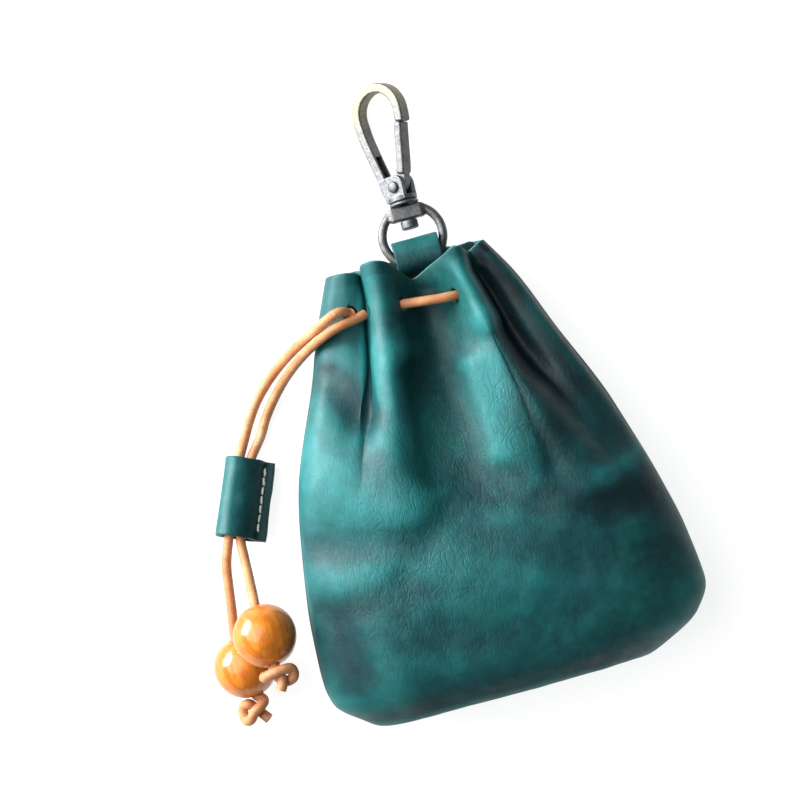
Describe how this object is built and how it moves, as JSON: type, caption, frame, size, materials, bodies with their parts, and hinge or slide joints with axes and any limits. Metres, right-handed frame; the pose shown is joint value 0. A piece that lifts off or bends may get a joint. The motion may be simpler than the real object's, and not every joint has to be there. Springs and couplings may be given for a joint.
{
  "type": "drawstring dice bag",
  "caption": "Small leather drawstring bag for dice, with a pleated mouth, a cord with wooden beads and a slider, and a swivel snap hook.",
  "frame": {"origin": "on the flat middle of the back panel, on the bag's centre line, 47.5 mm above its base; the bag lies on its back", "axes": "+Y from the base to the hook, +Z out of the front panel, +X to the right seen from the front"},
  "size_m": [0.1421, 0.1779, 0.0374],
  "materials": {
    "leather": "waxed pull-up leather, deep teal green, semi-gloss",
    "cord": "round natural tan leather cord",
    "thread": "waxed off-white sewing thread",
    "bead_wood": "lacquered orange-brown wood, glossy",
    "antique_metal": "antique gunmetal plating, worn to brass in places"
  },
  "bodies": {
    "bag": {"front_panel": "leather", "back_panel": "leather", "side_seam_thread_left": "thread", "side_seam_thread_right": "thread", "base_seam_thread": "thread", "drawstring_loop": "cord"},
    "tab": {"hanging_tab": "leather", "tab_stitching": "thread"},
    "ring_link": {"ring": "antique_metal"},
    "hook": {"hook_body": "antique_metal", "swivel_pin": "antique_metal", "swivel_collar": "antique_metal", "gate_pin": "antique_metal", "gate_spring": "antique_metal"},
    "gate_lever": {"gate": "antique_metal"},
    "cord_ends": {"drawstring_end_outer": "cord", "drawstring_end_inner": "cord", "knot_outer": "cord", "knot_inner": "cord"},
    "cord_slider": {"slider": "leather", "slider_stitching": "thread"},
    "outer_bead": {"bead_outer": "bead_wood"},
    "inner_bead": {"bead_inner": "bead_wood"}
  },
  "joints": [
    {"name": "tab_bend", "type": "hinge", "parent": "bag", "child": "tab", "pos_m": [0.001, 0.07, 0.0078], "axis": [1, 0, 0], "range_deg": [0, 25]},
    {"name": "ring_swing", "type": "hinge", "parent": "tab", "child": "ring_link", "pos_m": [0.001, 0.0763, 0.0104], "axis": [1, 0, 0], "range_deg": [-8, 12]},
    {"name": "hook_swivel", "type": "hinge", "parent": "ring_link", "child": "hook", "pos_m": [0.001, 0.09385, 0.00911], "axis": [0, 0.9973, -0.0732], "continuous": true},
    {"name": "gate_open", "type": "hinge", "parent": "hook", "child": "gate_lever", "pos_m": [0.00108, 0.09964, 0.00875], "axis": [-0.6157, 0.0577, 0.7859], "range_deg": [0, 24], "stiffness_Nm_per_rad": 0.006, "springref_deg": -17.19},
    {"name": "cord_lift", "type": "hinge", "parent": "bag", "child": "cord_ends", "pos_m": [-0.02025, 0.0671, 0.02475], "axis": [-0.9259, 0.3292, 0.1852], "range_deg": [0, 60]},
    {"name": "slider_slide", "type": "slide", "parent": "cord_ends", "child": "cord_slider", "axis": [-0.3582, -0.9139, 0.1908], "range_m": [0, 0.002]},
    {"name": "outer_bead_spin", "type": "hinge", "parent": "cord_ends", "child": "outer_bead", "pos_m": [-0.0773, -0.022, 0.009], "axis": [0.0905, -0.9959, 0], "continuous": true},
    {"name": "inner_bead_spin", "type": "hinge", "parent": "cord_ends", "child": "inner_bead", "pos_m": [-0.0686, -0.0137, 0.0229], "axis": [0.0713, -0.9671, 0.2443], "continuous": true}
  ]
}
